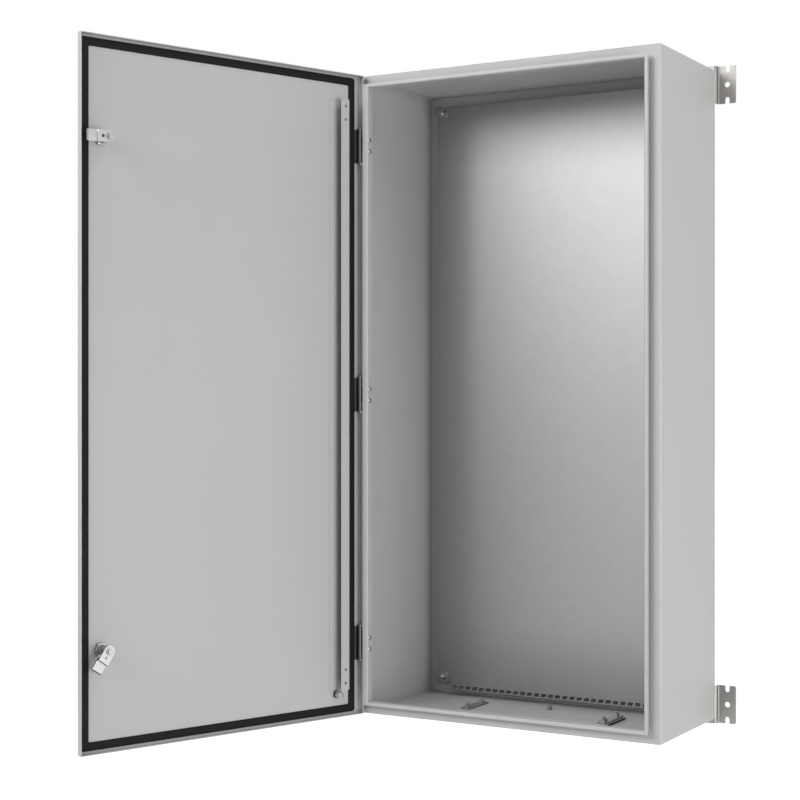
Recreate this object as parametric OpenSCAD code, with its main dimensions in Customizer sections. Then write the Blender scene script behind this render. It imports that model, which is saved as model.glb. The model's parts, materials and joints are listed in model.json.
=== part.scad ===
// Wall-mounted sheet-steel cabinet, shown with its door open.
// X runs to the right, Y towards the wall and Z up. The origin is the centre
// of the four wall holes, on the wall. Lengths are in millimetres.

/* [Cabinet body] */
// Width of the body
body_w = 600; // [480:10:800]
// Height of the body
body_h = 1200; // [900:10:1400]
// Depth of the body, from the front flange to the back of the rear panel
body_d = 272; // [230:1:360]
// Thickness of the body and door sheet
sheet_t = 1.5; // [1.2:0.1:2]
// Outer radius of the folded edges
bend_r = 3; // [2.5:0.25:3.5]

/* [Front frame] */
// Width of the front flange, up to the wall of the rain gutter
flange_w = 23.5; // [22:0.5:26]
// Height of the gutter wall in front of the flange
lip_h = 17; // [16:0.5:17.5]
// Width of the sealing land, turned outwards over the gutter
land_w = 6.5; // [5:0.5:8]
// Body side to the edge of the wider land along the hinges
hinge_land_in = 14; // [13:0.5:16]

/* [Door] */
// Angle at which the door stands open
door_angle = 110; // [0:5:110]
// Depth of the door tray
door_t = 13; // [12.5:0.5:14]
// Gap between the door tray and the front flange
door_gap = 9; // [8.5:0.5:10]
// How far the door edge stays inside the body outline
door_inset = 1.5; // [0.5:0.25:2]
// Width of the foamed gasket
gasket_w = 14.5; // [10:0.5:18]
// Door edge to gasket along the top, the bottom and the lock side
gasket_in = 5.5; // [5:0.5:8]
// Door edge to gasket along the hinge side
gasket_in_hinge = 14; // [13:0.5:16]
// Free height left between the gasket and the land
seal_gap = 0.5; // [0.3:0.1:1]

/* [Door stiffener] */
// Hinge edge of the door to the near side of the stiffener
rail_in = 38; // [36:0.5:60]
// Width of the stiffener face
rail_w = 19.5; // [14:0.5:24]
// Height of the stiffener above the door sheet
rail_h = 18; // [12:0.5:24]
// Width of the welding foot beyond the face
rail_foot = 15; // [5:0.5:18]
// Door end to the end of the stiffener
rail_end = 50.5; // [44:0.5:80]
// Diameter of the holes near the ends
rail_hole_d = 6; // [4:0.5:8]
// Pitch of the holes near the ends
rail_pitch = 25; // [15:1:40]

/* [Hinges] */
// Body end to the centre of the outer hinges
hinge_end = 134; // [110:1:200]
// Overall height of a hinge
hinge_h = 63; // [56:1:80]
// Height of the fixed middle knuckle
hinge_mid_h = 34; // [32:1:40]
// Body side to the hinge pin
hinge_in = 6.5; // [6.25:0.25:7]
// Front flange to the hinge pin
hinge_out = 14.25; // [13.5:0.25:14.5]
// Radius of the knuckles
knuckle_r = 4.4; // [4:0.1:4.4]
// Radius of the hinge pin
pin_r = 2.5; // [2:0.1:3]
// Thickness of the fixed leaf
leaf_t = 3; // [2.5:0.25:3.5]
// Spacing of the two screws of a hinge
hinge_screw_pitch = 21; // [18:0.5:24]

/* [Locks] */
// Free edge of the door to the lock axis
lock_in = 43; // [40:0.5:60]
// Door end to the lock axis
lock_end = 172; // [120:1:260]
// Diameter of the lock barrel
barrel_d = 18; // [16:0.5:20]
// Diameter of the lock rosette on the outside
rosette_d = 30; // [26:1:34]
// Width across flats of the lock nut
lock_nut_af = 22; // [22:1:28]
// Diameter of the turning core
core_d = 12; // [11:0.5:13]
// Lock axis to the tip of the cam
cam_len = 41.5; // [38:0.5:42]
// Width of the cam
cam_w = 20; // [18:0.5:24]
// Thickness of the cam
cam_t = 3; // [2.5:0.25:4]
// Step between the two levels of the cam
cam_step = 4.5; // [4:0.5:8]
// Angle of the upper cam below the horizontal
upper_cam_angle = 0; // [0:5:90]
// Angle of the lower cam below the horizontal
lower_cam_angle = 55; // [0:5:90]

/* [Mounting plate] */
// Thickness of the mounting plate
plate_t = 2.5; // [2:0.5:3]
// Body side to the plate edge
plate_in_x = 25; // [20:1:50]
// Body end to the plate edge
plate_in_z = 25; // [24:1:60]
// Rear panel to the back of the plate
plate_gap = 14.5; // [12:0.5:30]
// Width of the corner notches
notch_w = 19; // [17:0.5:24]
// Height of the corner notches
notch_h = 16; // [15:0.5:24]
// Width of the slotted strip along the bottom edge
strip_w = 13.5; // [12:0.5:18]
// Plate side to the end of the slotted strip
strip_in = 33; // [28:1:60]
// Length of a slot along the strip
slot_l = 10; // [6:0.5:11]
// Width of a slot across the strip
slot_w = 8; // [5:0.5:9]
// Pitch of the slots
slot_pitch = 15; // [13:0.5:25]

/* [Wall brackets] */
// Wall to the back of the rear panel
wall_gap = 14; // [13:1:30]
// Body side to the wall hole
wall_hole_out = 20; // [18:0.5:26]
// Body end to the wall hole
wall_hole_end = 27; // [27:0.5:40]
// Diameter of the wall hole
wall_hole_d = 10; // [8:0.5:12]
// Height of a bracket
bracket_h = 70; // [64:1:90]
// Thickness of the bracket steel
bracket_t = 3; // [2.5:0.5:4]
// Body side to the outer edge of a bracket
bracket_out = 36; // [34:0.5:44]
// Body side to the inner edge of a bracket
bracket_in = 36; // [34:0.5:40]
// Body side to the bracket bolt
bracket_bolt_in = 22; // [19:0.5:23]
// Width of the open notches
bracket_notch_w = 8.5; // [6:0.5:10]
// Depth of the open notches
bracket_notch_d = 12; // [8:0.5:14]

/* [Cable entry] */
// Width of the gland plate
gland_w = 300; // [220:5:400]
// Depth of the gland plate
gland_d = 95; // [90:1:130]
// Front flange to the gland plate
gland_front = 92; // [60:1:100]
// Middle of the gland plate, to the right of the middle of the body
gland_side = 9; // [-20:1:20]
// Thickness of the gland plate
gland_t = 2; // [1.5:0.5:3]
// Thickness of the gland plate seal
gland_seal_t = 2.5; // [2:0.5:4]
// Width of the seal around the opening
gland_seal_w = 22; // [20:1:30]
// Width of a clamp bar
clamp_w = 18; // [16:1:22]
// Thickness of a clamp bar
clamp_t = 3; // [2:0.5:4]
// Spacing of the two studs under a clamp bar
clamp_pitch = 57; // [50:1:66]

/* [Hidden] */
$fn = 48;

// Colours of the finishes
paint_grey = "#c9cbc8";
zinc_silver = "#c4c6c8";
zinc_dark = "#8f9295";
foam_black = "#1f1f20";
lock_chrome = "#b9bbbd";

// Clearances
run_gap = 0.05;
thread_gap = 0.05;
hole_gap = 0.5;
side_gap = 0.8;
grip_gap = 1;
seat_gap = 0.3;
cut_over = 1;

// Places along the depth
rear_y = -wall_gap;
panel_y = rear_y - sheet_t;
plate_back_y = panel_y - plate_gap;
plate_front_y = plate_back_y - plate_t;
front_y = rear_y - body_d;
lip_y = front_y - lip_h;
door_back_y = front_y - door_gap;
door_face_y = door_back_y - door_t;
skin_y = door_face_y + sheet_t;

// Places along the width and the height
side_x = body_w / 2;
end_z = body_h / 2;
floor_z = sheet_t - end_z;
door_w = body_w - 2 * door_inset;
door_h = body_h - 2 * door_inset;
wall_hole_x = side_x + wall_hole_out;
wall_hole_z = end_z - wall_hole_end;
bracket_bolt_x = side_x - bracket_bolt_in;
skin_f = front_y - skin_y;
gasket_h = lip_y - skin_y - seal_gap;
fold_r = bend_r - sheet_t;

// Metric fasteners: radius, width across flats and height of head or nut
m5_r = 2.5;
m5_af = 8;
m5_h = 3.5;
m5_pan_r = 4.5;
m5_pan_h = 2.6;
m6_r = 3;
m6_af = 10;
m6_h = 5;
m8_r = 4;
m8_af = 13;
m8_h = 6.5;

// Mounting plate and its studs
plate_w = body_w - 2 * plate_in_x;
plate_h = body_h - 2 * plate_in_z;
stud_edge = 5;
stud_x = plate_w / 2 - notch_w + stud_edge;
stud_z = plate_h / 2 - notch_h + stud_edge;
stud_collar_r = 10;
stud_tail = 4;
washer_r = 12;
washer_t = 2;
strip_angle = 45;
strip_drop = 3;
strip_z = -plate_h / 2 - strip_drop;
strip_len = plate_w - 2 * strip_in;
slot_count = floor((strip_len - slot_pitch) / slot_pitch) + 1;

// Wall brackets
bracket_bend = 2;
bracket_corner = 3.5;
bracket_relief = 42;
bracket_relief_x = 6;
bolt_tail = 1;

// Hinges
hinge_x = hinge_in - side_x;
hinge_y = front_y - hinge_out;
hinge_span = end_z - hinge_end;
hinge_places = [hinge_span, 0, -hinge_span];
knuckle_gap = 0.5;
door_knuckle_h = (hinge_h - hinge_mid_h) / 2 - knuckle_gap;
riser_w = 3;
door_leaf_t = 1.5;
pin_head_r = 3.6;
pin_head_h = 1.5;
hinge_cut_h = hinge_h + 2 * (pin_head_h + knuckle_gap);
hinge_cut_rest = 2.5;
hinge_screw_f = lip_h - bend_r - m5_pan_r;
hinge_screw_len = sheet_t + leaf_t;

// Locks, measured from the inner face of the door sheet
lock_x = door_w / 2 - lock_in;
lock_span = door_h / 2 - lock_end;
rosette_t = 3.5;
rosette_edge = 1;
barrel_flat = 0.9;
lock_nut_t = 6;
cam_tip_n = skin_f + sheet_t + grip_gap;
cam_seat_n = cam_tip_n + cam_step;
core_collar_r = 8;
core_collar_t = 2;
barrel_n = cam_seat_n - core_collar_t - seat_gap;
square_w = 8;
key_r = 4.5;
key_depth = 9;
key_pin_r = 2.1;
key_bit_w = 2.6;
key_bit_l = 8;
cam_joggle = 20;
cam_slope = 1.5;
cam_corner = 3;
cam_window = 4.5;
cam_window_x = 12;
cam_flange_r = 7;
cam_flange_t = 1.2;
cam_bolt_len = 12;

// Corners of the gasket
gasket_corner = 6;
gasket_corner_in = 3;

// Door stiffener and earth studs
rail_len = door_h - 2 * rail_end;
rail_hole_end = rail_pitch / 2;
door_stud_in = 57;
door_stud_end = 41;
stud_base_r = 7;
stud_base_t = 1.5;
earth_len = 20;
earth_nut_n = 6;

// Cable entry
gland_y = front_y + gland_front + gland_d / 2;
gland_z = floor_z + gland_seal_t;
clamp_z = gland_z + gland_t;
gland_nut_z = clamp_z + clamp_t;
clamp_x = gland_w / 2 - gland_seal_w / 2;
clamp_end = 5;
gland_stud_tail = 3;
gland_corner = 5;
gland_earth_y = gland_y + gland_d / 2 - gland_seal_w / 2;
gland_base_r = 5;
gland_earth_len = 9;
gland_earth_nut_n = 2;

// Rectangle with round corners, about its centre
module rounded_rect(w, h, r) {
    square([w - 2 * r, h], center = true);
    square([w, h - 2 * r], center = true);
    for (sx = [-1, 1], sy = [-1, 1])
        translate([sx * (w / 2 - r), sy * (h / 2 - r)])
            circle(r = r);
}

// Front view of the wrapped sheet of the body
module body_band(width, r) {
    difference() {
        rounded_rect(body_w, body_h, r);
        rounded_rect(body_w - 2 * width, body_h - 2 * width, r - width);
    }
}

// Extrudes a front view from y_back towards the front
module along_y(y_back, depth) {
    translate([0, y_back, 0])
        rotate([90, 0, 0])
            linear_extrude(depth)
                children();
}

// Extrudes a side view, drawn in Y and Z, to both sides of the middle
module along_x(length) {
    rotate([90, 0, 90])
        linear_extrude(length, center = true)
            children();
}

// Extrudes a section at the hinge edge: first axis inwards from the body side,
// second axis forwards from the front flange
module hinge_section(z, height) {
    translate([-side_x, front_y, z])
        mirror([0, 1, 0])
            linear_extrude(height)
                children();
}

// Sweeps a section around a rectangle in the front view, with mitred corners:
// first axis inwards from the edge, second axis forwards
module mitred_frame(w, h) {
    for (turn = [0 : 3]) {
        run = turn % 2 == 0 ? w : h;
        rise = turn % 2 == 0 ? h : w;
        rotate([0, 90 * turn, 0])
            intersection() {
                translate([0, 0, -rise / 2])
                    along_x(run)
                        rotate(90)
                            children();
                along_y(body_d, 2 * body_d)
                    polygon([[-run / 2, -rise / 2], [run / 2, -rise / 2], [0, (run - rise) / 2]]);
            }
    }
}

// One quarter of a bent strip, seen on edge
module quarter_bend(r, t, sx, sy) {
    reach = r + t;
    intersection() {
        difference() {
            circle(r = reach);
            circle(r = r);
        }
        translate([sx * reach / 2, sy * reach / 2])
            square(reach, center = true);
    }
}

// Puts children at the four corners of a rectangle in the front view
module at_corners(x, z) {
    for (sx = [-1, 1], sz = [-1, 1])
        translate([sx * x, 0, sz * z])
            children();
}

// Turns the door and all that it carries to its open position
module open_door() {
    translate([hinge_x, hinge_y, 0])
        rotate([0, 0, -door_angle])
            translate([-hinge_x, -hinge_y, 0])
                children();
}

// Lock frame: first axis to the free edge, second axis down, third into the cabinet
module at_lock(z) {
    open_door()
        translate([lock_x, skin_y, z])
            rotate([-90, 0, 0])
                children();
}

// Hexagon prism with a given width across flats
module hexagon(af, h) {
    cylinder(r = af / 2 / cos(30), h = h, $fn = 6);
}

// Plain hexagon nut
module hex_nut(af, h, r) {
    difference() {
        hexagon(af, h);
        translate([0, 0, -cut_over])
            cylinder(r = r + thread_gap, h = h + 2 * cut_over);
    }
}

// Welding stud with a flat base
module earth_stud(r, base_r, reach) {
    cylinder(r = base_r, h = stud_base_t);
    cylinder(r = r, h = reach);
}

// Section of the front frame, one sheet folded three times: from the side into the
// flange, forwards into the gutter wall and outwards again into the sealing land
module frame_section() {
    translate([bend_r, -bend_r])
        quarter_bend(fold_r, sheet_t, -1, 1);
    translate([bend_r, -sheet_t])
        square([flange_w - fold_r - bend_r, sheet_t]);
    translate([flange_w - fold_r, fold_r])
        quarter_bend(fold_r, sheet_t, 1, -1);
    translate([flange_w, fold_r])
        square([sheet_t, lip_h - fold_r - bend_r]);
    translate([flange_w + sheet_t - bend_r, lip_h - bend_r])
        quarter_bend(fold_r, sheet_t, 1, 1);
    translate([flange_w + sheet_t - land_w, lip_h - sheet_t])
        square([land_w - bend_r, sheet_t]);
}

// Strip that widens the land along the hinges, between the lands of the top and bottom
module hinge_land() {
    land_in = flange_w + sheet_t - land_w;
    reach = end_z - land_in;
    hinge_section(-reach, 2 * reach)
        translate([hinge_land_in, lip_h - sheet_t])
            square([land_in - hinge_land_in + cut_over, sheet_t]);
}

// Folded sides, top and bottom with the front frame
module body_shell() {
    color(paint_grey)
        difference() {
            intersection() {
                union() {
                    along_y(rear_y, body_d - bend_r)
                        body_band(sheet_t, bend_r);
                    translate([0, front_y, 0])
                        mitred_frame(body_w, body_h)
                            frame_section();
                    hinge_land();
                }
                along_y(rear_y, body_d + lip_h)
                    rounded_rect(body_w, body_h, bend_r);
            }
            gland_opening();
            for (z = hinge_places)
                hinge_screw_places(z)
                    translate([0, 0, -cut_over])
                        cylinder(r = m5_r + hole_gap / 2, h = sheet_t + 2 * cut_over);
        }
}

// Opening in the floor under the gland plate
module gland_opening() {
    translate([gland_side, gland_y, -end_z - cut_over])
        linear_extrude(sheet_t + 2 * cut_over)
            rounded_rect(gland_w - 2 * gland_seal_w, gland_d - 2 * gland_seal_w, gland_corner);
}

// Flat rear panel, welded into the shell
module rear_panel() {
    color(paint_grey)
        difference() {
            along_y(rear_y, sheet_t)
                rounded_rect(body_w - 2 * sheet_t, body_h - 2 * sheet_t, fold_r);
            at_corners(bracket_bolt_x, wall_hole_z)
                translate([0, rear_y + cut_over, 0])
                    rotate([90, 0, 0])
                        cylinder(r = m8_r + hole_gap, h = sheet_t + 2 * cut_over);
        }
}

// Plate outline: a rectangle with its corners notched for the studs, drawn down to the
// fold of the strip
module plate_outline() {
    translate([-strip_len / 2, strip_z])
        square([strip_len, strip_drop + cut_over]);
    difference() {
        square([plate_w, plate_h], center = true);
        for (sx = [-1, 1], sz = [-1, 1])
            translate([sx * plate_w / 2, sz * plate_h / 2])
                square([2 * notch_w, 2 * notch_h], center = true);
    }
}

// Side view of the slotted strip, bent forwards off the bottom edge of the plate
module strip_section() {
    z = strip_z;
    reach = strip_w * cos(strip_angle);
    skew = plate_t * cos(strip_angle);
    polygon([
        [plate_front_y, z],
        [plate_back_y, z],
        [plate_back_y, z - plate_t * tan(strip_angle / 2)],
        [plate_front_y - reach + skew, z - reach - skew],
        [plate_front_y - reach, z - reach]
    ]);
}

// Galvanised mounting plate with the slotted strip
module mounting_plate() {
    color(zinc_silver)
        difference() {
            union() {
                along_y(plate_back_y, plate_t)
                    plate_outline();
                along_x(strip_len)
                    strip_section();
            }
            for (k = [0 : slot_count - 1])
                translate([(k - (slot_count - 1) / 2) * slot_pitch, plate_front_y, strip_z])
                    rotate([-strip_angle, 0, 0])
                        translate([-slot_l / 2, -cut_over, -(strip_w + slot_w) / 2])
                            cube([slot_l, plate_t + 2 * cut_over, slot_w]);
        }
}

// Collared studs on the rear panel, one in each corner notch of the plate
module plate_studs() {
    stud_len = plate_gap + plate_t + washer_t + m8_h + stud_tail;
    color(zinc_silver)
        at_corners(stud_x, stud_z)
            translate([0, panel_y, 0])
                rotate([90, 0, 0]) {
                    cylinder(r = stud_collar_r, h = plate_gap);
                    cylinder(r = m8_r, h = stud_len);
                }
}

module plate_washers() {
    color(zinc_silver)
        at_corners(stud_x, stud_z)
            translate([0, plate_front_y, 0])
                rotate([90, 0, 0])
                    difference() {
                        cylinder(r = washer_r, h = washer_t);
                        translate([0, 0, -cut_over])
                            cylinder(r = m8_r + hole_gap / 2, h = washer_t + 2 * cut_over);
                    }
}

module plate_nuts() {
    color(zinc_silver)
        at_corners(stud_x, stud_z)
            translate([0, plate_front_y - washer_t, 0])
                rotate([90, 0, 0])
                    hex_nut(m8_af, m8_h, m8_r);
}

// Plan view of a right-hand bracket: foot behind the panel, web, wall flange
module bracket_section() {
    bend = bracket_bend;
    t = bracket_t;
    translate([side_x - bracket_in, rear_y])
        square([bracket_in - bend, t]);
    translate([side_x - bend, rear_y + t + bend])
        quarter_bend(bend, t, 1, -1);
    translate([side_x, rear_y + t + bend])
        square([t, wall_gap - 2 * (t + bend)]);
    translate([side_x + t + bend, -t - bend])
        quarter_bend(bend, t, -1, 1);
    translate([side_x + t + bend, -t])
        square([bracket_out - t - bend, t]);
}

// Front view of all that is cut from a bracket, about its wall hole
module bracket_cuts() {
    notch_r = bracket_notch_w / 2;
    circle(r = wall_hole_d / 2);
    for (s = [-1, 1]) {
        translate([0, s * (bracket_h / 2 - bracket_notch_d + notch_r)])
            circle(r = notch_r);
        translate([0, s * (bracket_h / 2 + (notch_r - bracket_notch_d + cut_over) / 2)])
            square([bracket_notch_w, bracket_notch_d - notch_r + cut_over], center = true);
        translate([bracket_out - wall_hole_out, s * bracket_h / 2])
            difference() {
                square(2 * bracket_corner, center = true);
                translate([-bracket_corner, -s * bracket_corner])
                    circle(r = bracket_corner);
            }
    }
    translate([-wall_hole_out - bracket_bolt_in, 0])
        circle(r = m8_r + hole_gap);
    translate([-wall_hole_out - bracket_relief_x, -bracket_relief / 2])
        square([bracket_relief_x, bracket_relief]);
}

// Zinc-plated wall bracket on the right-hand side
module right_bracket() {
    difference() {
        translate([0, 0, -bracket_h / 2])
            linear_extrude(bracket_h)
                bracket_section();
        translate([wall_hole_x, 0, 0])
            along_y(cut_over, wall_gap + 2 * cut_over)
                bracket_cuts();
    }
}

// Bracket at a corner: sx is -1 on the left, sz is -1 at the bottom
module wall_bracket(sx, sz) {
    color(zinc_silver)
        translate([0, 0, sz * wall_hole_z])
            mirror([sx < 0 ? 1 : 0, 0, 0])
                right_bracket();
}

// Bolts that hold the brackets, with their heads inside the cabinet
module bracket_bolts() {
    reach = sheet_t + bracket_t + m8_h + bolt_tail;
    color(zinc_silver)
        at_corners(bracket_bolt_x, wall_hole_z)
            translate([0, panel_y, 0])
                rotate([-90, 0, 0]) {
                    translate([0, 0, -m8_h])
                        hexagon(m8_af, m8_h);
                    cylinder(r = m8_r, h = reach);
                }
}

module bracket_nuts() {
    color(zinc_silver)
        at_corners(bracket_bolt_x, wall_hole_z)
            translate([0, rear_y + bracket_t, 0])
                rotate([-90, 0, 0])
                    hex_nut(m8_af, m8_h, m8_r);
}

// Places of the four studs that clamp the gland plate
module gland_stud_places(z) {
    for (sx = [-1, 1], sy = [-1, 1])
        translate([gland_side + sx * clamp_x, gland_y + sy * clamp_pitch / 2, z])
            children();
}

// Holes over the gland studs, from z upwards
module gland_stud_holes(z, t) {
    gland_stud_places(z - cut_over)
        cylinder(r = m6_r + hole_gap, h = t + 2 * cut_over);
}

module gland_plate() {
    color(paint_grey)
        difference() {
            translate([gland_side, gland_y, gland_z])
                linear_extrude(gland_t)
                    rounded_rect(gland_w, gland_d, gland_corner);
            gland_stud_holes(gland_z, gland_t);
        }
}

module gland_seal() {
    color(foam_black)
        difference() {
            translate([gland_side, gland_y, floor_z])
                linear_extrude(gland_seal_t)
                    difference() {
                        rounded_rect(gland_w, gland_d, gland_corner);
                        rounded_rect(gland_w - 2 * gland_seal_w, gland_d - 2 * gland_seal_w, gland_corner);
                    }
            gland_stud_holes(floor_z, gland_seal_t);
        }
}

// Flat bar across one end of the gland plate
module gland_clamp(sx) {
    color(zinc_silver)
        difference() {
            translate([gland_side + sx * clamp_x, gland_y, clamp_z])
                linear_extrude(clamp_t)
                    rounded_rect(clamp_w, gland_d - 2 * clamp_end, gland_corner);
            gland_stud_holes(clamp_z, clamp_t);
        }
}

module gland_studs() {
    stud_len = gland_nut_z - floor_z + m6_h + gland_stud_tail;
    color(zinc_silver)
        gland_stud_places(floor_z)
            cylinder(r = m6_r, h = stud_len);
}

module gland_nuts() {
    color(zinc_silver)
        gland_stud_places(gland_nut_z)
            hex_nut(m6_af, m6_h, m6_r);
}

module gland_earth_stud() {
    color(zinc_silver)
        translate([gland_side, gland_earth_y, clamp_z])
            earth_stud(m6_r, gland_base_r, gland_earth_len);
}

module gland_earth_nut() {
    color(zinc_silver)
        translate([gland_side, gland_earth_y, clamp_z + gland_earth_nut_n])
            hex_nut(m6_af, m6_h, m6_r);
}

// Section of the fixed hinge leaf: plate on the gutter wall, arm under the land, knuckle
module fixed_leaf_section() {
    difference() {
        union() {
            translate([flange_w - leaf_t, fold_r])
                square([leaf_t, lip_h - bend_r - knuckle_gap - fold_r]);
            translate([hinge_in, hinge_out - knuckle_r])
                square([flange_w - hinge_in, leaf_t]);
            translate([hinge_in, hinge_out])
                circle(r = knuckle_r);
        }
        translate([hinge_in, hinge_out])
            circle(r = pin_r);
    }
}

// Screw axes of one hinge, from the inner face of the gutter wall to the body side
module hinge_screw_places(z) {
    for (s = [-1, 1])
        translate([flange_w + sheet_t - side_x, front_y - hinge_screw_f, z + s * hinge_screw_pitch / 2])
            rotate([0, -90, 0])
                children();
}

module hinge_leaf(z) {
    color(zinc_dark)
        difference() {
            hinge_section(z - hinge_mid_h / 2, hinge_mid_h)
                fixed_leaf_section();
            hinge_screw_places(z)
                cylinder(r = m5_r + thread_gap, h = hinge_screw_len + cut_over);
        }
}

module hinge_pin(z) {
    pin_len = hinge_h + seat_gap;
    color(zinc_silver)
        translate([hinge_x, hinge_y, z - hinge_h / 2]) {
            cylinder(r = pin_r, h = pin_len);
            translate([0, 0, pin_len])
                cylinder(r = pin_head_r, h = pin_head_h);
        }
}

// Pan-head screws from the inside through the gutter wall into the leaves
module hinge_screws() {
    color(zinc_silver)
        for (z = hinge_places)
            hinge_screw_places(z) {
                translate([0, 0, -m5_pan_h])
                    cylinder(r = m5_pan_r, h = m5_pan_h);
                cylinder(r = m5_r, h = hinge_screw_len);
            }
}

// Section of a door edge: the return and its fold into the outer sheet
module door_section() {
    square([sheet_t, door_t - bend_r]);
    translate([bend_r, door_t - bend_r])
        quarter_bend(fold_r, sheet_t, -1, 1);
}

// Door tray: outer sheet with a return along all four edges
module door_panel() {
    color(paint_grey)
        open_door()
            difference() {
                intersection() {
                    union() {
                        along_y(skin_y, sheet_t)
                            square([door_w - 2 * bend_r, door_h - 2 * bend_r], center = true);
                        translate([0, door_back_y, 0])
                            mitred_frame(door_w, door_h)
                                door_section();
                    }
                    along_y(door_back_y, door_t)
                        rounded_rect(door_w, door_h, fold_r);
                }
                for (z = hinge_places)
                    hinge_cut(z);
                for (s = [-1, 1])
                    translate([lock_x, 0, s * lock_span])
                        along_y(skin_y + cut_over, sheet_t + 2 * cut_over)
                            barrel_section(hole_gap / 2);
            }
}

// Cut-out for a hinge in the return of the door
module hinge_cut(z) {
    hinge_section(z - hinge_cut_h / 2, hinge_cut_h)
        translate([door_inset - cut_over, door_gap - cut_over])
            square([sheet_t + 2 * cut_over, door_t - sheet_t - hinge_cut_rest + cut_over]);
}

// Foamed gasket on the inner face of the door
module door_gasket() {
    w = door_w - gasket_in - gasket_in_hinge;
    h = door_h - 2 * gasket_in;
    shift = (gasket_in_hinge - gasket_in) / 2;
    color(foam_black)
        open_door()
            along_y(skin_y + gasket_h, gasket_h)
                translate([shift, 0])
                    difference() {
                        rounded_rect(w, h, gasket_corner);
                        rounded_rect(w - 2 * gasket_w, h - 2 * gasket_w, gasket_corner_in);
                    }
}

// Section of the stiffener: a folded channel, open to the lock side, with its long foot
// on the door sheet
module rail_section() {
    translate([bend_r, 0])
        square([rail_w + rail_foot - bend_r, sheet_t]);
    translate([bend_r, bend_r])
        quarter_bend(fold_r, sheet_t, -1, -1);
    translate([0, bend_r])
        square([sheet_t, rail_h - 2 * bend_r]);
    translate([bend_r, rail_h - bend_r])
        quarter_bend(fold_r, sheet_t, -1, 1);
    translate([bend_r, rail_h - sheet_t])
        square([rail_w - bend_r, sheet_t]);
}

module door_stiffener() {
    color(paint_grey)
        open_door()
            difference() {
                translate([rail_in - door_w / 2, skin_y, -rail_len / 2])
                    linear_extrude(rail_len)
                        rail_section();
                for (s = [-1, 1], k = [0, 1])
                    translate([rail_in + rail_w / 2 - door_w / 2, skin_y + rail_h + cut_over,
                               s * (rail_len / 2 - rail_hole_end - k * rail_pitch)])
                        rotate([90, 0, 0])
                            cylinder(r = rail_hole_d / 2, h = sheet_t + 2 * cut_over);
            }
}

// Section of a moving knuckle with its riser from the door sheet
module moving_knuckle_section() {
    difference() {
        union() {
            translate([hinge_in - riser_w / 2, hinge_out])
                square([riser_w, skin_f - hinge_out]);
            translate([hinge_in, hinge_out])
                circle(r = knuckle_r);
        }
        translate([hinge_in, hinge_out])
            circle(r = pin_r + run_gap);
    }
}

// Moving hinge half: base on the door sheet and a knuckle at each end
module door_hinge(z) {
    base_in = door_inset + bend_r;
    base_w = gasket_in_hinge - bend_r - side_gap;
    color(zinc_silver)
        open_door() {
            hinge_section(z - hinge_h / 2, hinge_h)
                translate([base_in, skin_f - door_leaf_t])
                    square([base_w, door_leaf_t]);
            for (z0 = [z - hinge_h / 2, z + hinge_h / 2 - door_knuckle_h])
                hinge_section(z0, door_knuckle_h)
                    moving_knuckle_section();
        }
}

module door_earth_place() {
    open_door()
        translate([door_stud_in - door_w / 2, skin_y, door_stud_end - door_h / 2])
            rotate([-90, 0, 0])
                children();
}

module door_earth_stud() {
    color(zinc_silver)
        door_earth_place()
            earth_stud(m8_r, stud_base_r, earth_len);
}

module door_earth_nut() {
    color(zinc_silver)
        door_earth_place()
            translate([0, 0, earth_nut_n])
                hex_nut(m8_af, m8_h, m8_r);
}

// Round barrel with two flats that keep it from turning
module barrel_section(gap) {
    r = barrel_d / 2;
    intersection() {
        circle(r = r + gap);
        square([3 * r, 2 * (r * barrel_flat + gap)], center = true);
    }
}

// Lock housing: rosette on the outside, barrel through the door sheet
module lock_housing(z) {
    r = rosette_d / 2;
    color(lock_chrome)
        at_lock(z)
            difference() {
                union() {
                    translate([0, 0, -sheet_t - rosette_t])
                        rotate_extrude()
                            polygon([
                                [0, 0],
                                [r - rosette_edge, 0],
                                [r, rosette_edge],
                                [r, rosette_t],
                                [0, rosette_t]
                            ]);
                    translate([0, 0, -sheet_t])
                        linear_extrude(barrel_n + sheet_t)
                            barrel_section(0);
                }
                translate([0, 0, -sheet_t - rosette_t - cut_over])
                    cylinder(r = core_d / 2 + run_gap, h = barrel_n + sheet_t + rosette_t + 2 * cut_over);
            }
}

module lock_nut(z) {
    color(zinc_silver)
        at_lock(z)
            hex_nut(lock_nut_af, lock_nut_t, barrel_d / 2);
}

// Turning core: key socket outside, square for the cam inside
module lock_core(z, angle) {
    face_n = -sheet_t - rosette_t;
    color(lock_chrome)
        at_lock(z)
            rotate([0, 0, angle])
                difference() {
                    union() {
                        translate([0, 0, face_n])
                            cylinder(r = core_d / 2, h = cam_seat_n - face_n);
                        translate([0, 0, cam_seat_n - core_collar_t])
                            cylinder(r = core_collar_r, h = core_collar_t);
                        translate([-square_w / 2, -square_w / 2, cam_seat_n])
                            cube([square_w, square_w, cam_t - run_gap]);
                    }
                    translate([0, 0, face_n])
                        key_socket();
                    translate([0, 0, cam_seat_n + cam_t - cam_bolt_len])
                        cylinder(r = m5_r + thread_gap, h = cam_bolt_len);
                }
}

// Round socket that leaves a pin with two bits standing
module key_socket() {
    difference() {
        translate([0, 0, -cut_over])
            cylinder(r = key_r, h = key_depth + cut_over);
        translate([0, 0, run_gap])
            cylinder(r = key_pin_r, h = key_depth);
        translate([-key_bit_l / 2, -key_bit_w / 2, run_gap])
            cube([key_bit_l, key_bit_w, key_depth]);
    }
}

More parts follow.
